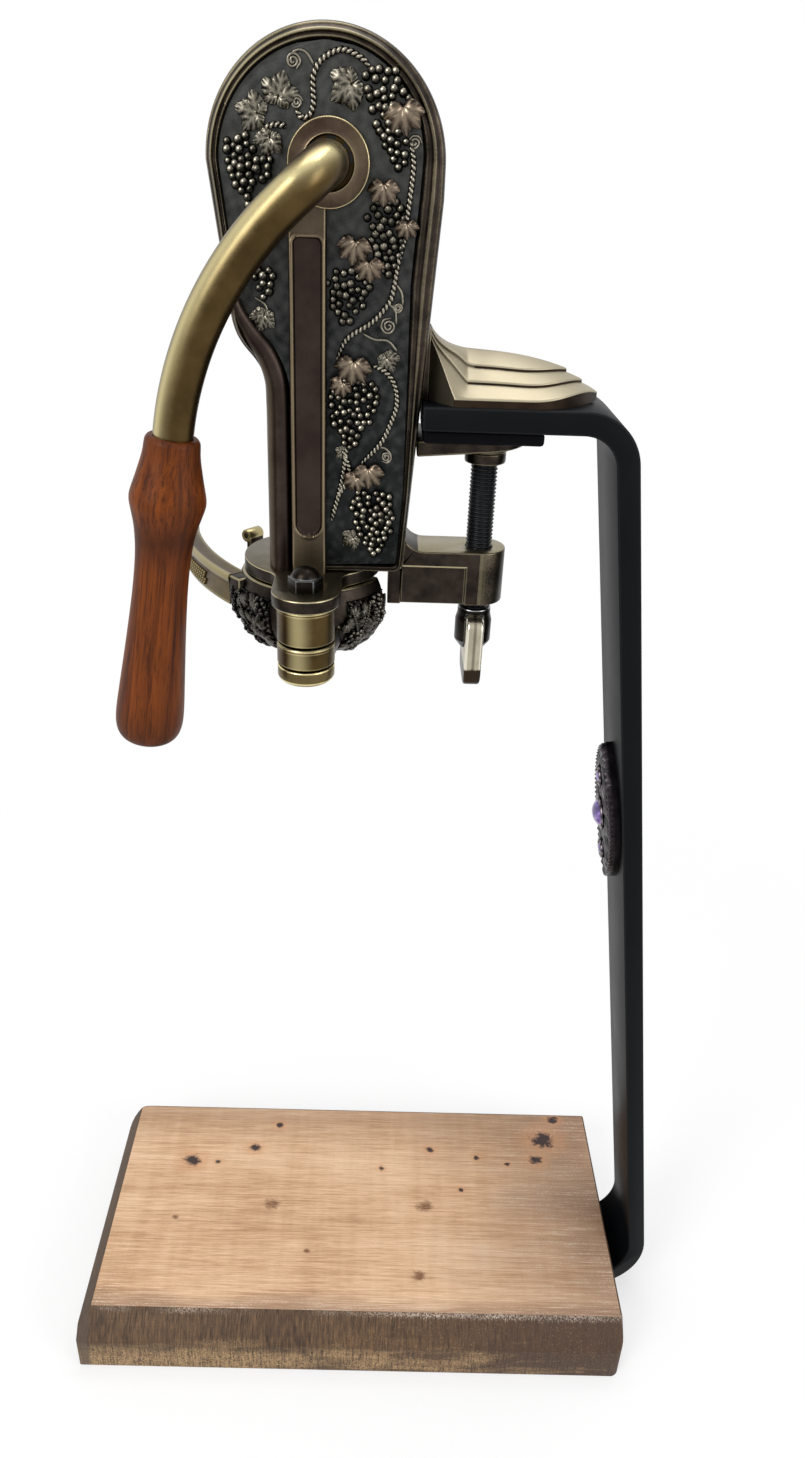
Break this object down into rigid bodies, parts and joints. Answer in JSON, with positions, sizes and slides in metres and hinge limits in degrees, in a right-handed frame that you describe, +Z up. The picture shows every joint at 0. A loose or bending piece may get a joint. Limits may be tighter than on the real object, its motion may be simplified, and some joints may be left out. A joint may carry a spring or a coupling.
{
  "type": "countertop corkscrew",
  "caption": "Countertop lever corkscrew: cast housing with side lever, geared worm and hinged bottle jaws, clamped to a bent flat-bar stand on a wooden board.",
  "frame": {"origin": "centre of the base board's underside", "axes": "+X to the right along the board towards the stand bar, +Y to the back, +Z up"},
  "size_m": [0.3518, 0.165, 0.6973],
  "materials": {
    "board_wood": "open-grained tan board, stained dark on its chamfers, oil-rubbed",
    "black_steel": "satin black paint on flat steel bar",
    "dark_metal": "blackened metal",
    "stone": "polished purple cabochon",
    "bronze": "antique bronze with dark recesses and rubbed edges",
    "brass": "aged satin brass",
    "steel": "machined",
    "grip_wood": "turned reddish hardwood, satin lacquer",
    "rubber": "black rubber"
  },
  "bodies": {
    "frame": {"base_board": "board_wood", "stand_bar": "black_steel", "wood_screws": "steel", "badge_plate": "dark_metal", "badge_stones": "stone", "main_body": "bronze", "clamp_foot": "brass", "front_cover": "bronze", "centre_rail": "bronze", "cover_screws": "steel", "boss_ring": "brass", "front_bush": "brass", "rear_bush": "brass", "idler_pin": "steel", "worm_nut": "brass", "guide_pins": "steel", "bottle_bell": "brass", "hinge_pin": "steel", "acorn_nut": "dark_metal", "pin_cap": "brass"},
    "lever": {"lever_arm": "brass", "wood_grip": "grip_wood", "grip_bolt": "steel", "crank_shaft": "steel", "drive_gear": "steel", "gear_pin": "steel", "shaft_retainer": "steel"},
    "idler": {"idler_pinion": "steel"},
    "carrier": {"rack_carrier": "steel"},
    "worm": {"worm": "steel", "thrust_washer": "brass", "worm_collar": "steel"},
    "left_jaw": {"left_jaw": "bronze", "left_liner": "rubber"},
    "right_jaw": {"right_jaw": "bronze", "right_liner": "rubber"},
    "clamp_shoe": {"clamp_plate": "bronze", "clamp_pad": "rubber"},
    "clamp_screw": {"clamp_screw": "black_steel", "swivel_washer": "bronze", "wing_hub": "bronze", "thumb_wing": "brass"}
  },
  "joints": [
    {"name": "lever_turn", "type": "hinge", "parent": "frame", "child": "lever", "pos_m": [-0.0185, 0, 0.653], "axis": [0, 1, 0], "range_deg": [0, 105]},
    {"name": "idler_turn", "type": "hinge", "parent": "frame", "child": "idler", "pos_m": [-0.0125, 0, 0.60992], "axis": [0, 1, 0], "range_deg": [-233.5, 0]},
    {"name": "carrier_slide", "type": "slide", "parent": "frame", "child": "carrier", "axis": [0, 0, -1], "range_m": [0, 0.055]},
    {"name": "worm_spin", "type": "hinge", "parent": "carrier", "child": "worm", "pos_m": [-0.0265, 0, 0.55], "axis": [0, 0, -1], "range_deg": [0, 2084]},
    {"name": "left_jaw_swing", "type": "hinge", "parent": "frame", "child": "left_jaw", "pos_m": [-0.0265, -0.046, 0.475], "axis": [0, 0, 1], "range_deg": [0, 22]},
    {"name": "right_jaw_swing", "type": "hinge", "parent": "frame", "child": "right_jaw", "pos_m": [-0.0265, -0.046, 0.467], "axis": [0, 0, 1], "range_deg": [-8, 0]},
    {"name": "shoe_slide", "type": "slide", "parent": "frame", "child": "clamp_shoe", "axis": [0, 0, -1], "range_m": [0, 0.0245]},
    {"name": "screw_turn", "type": "hinge", "parent": "clamp_shoe", "child": "clamp_screw", "pos_m": [0.049, 0, 0.5], "axis": [0, 0, -1], "range_deg": [0, 5041]}
  ],
  "couplings": [
    {"joint": "idler_turn", "follows": "lever_turn", "ratio": -2.2222},
    {"joint": "carrier_slide", "follows": "lever_turn", "m_per_rad": 0.03},
    {"joint": "worm_spin", "follows": "lever_turn", "ratio": 19.842},
    {"joint": "screw_turn", "follows": "shoe_slide", "rad_per_m": 3590.4}
  ]
}
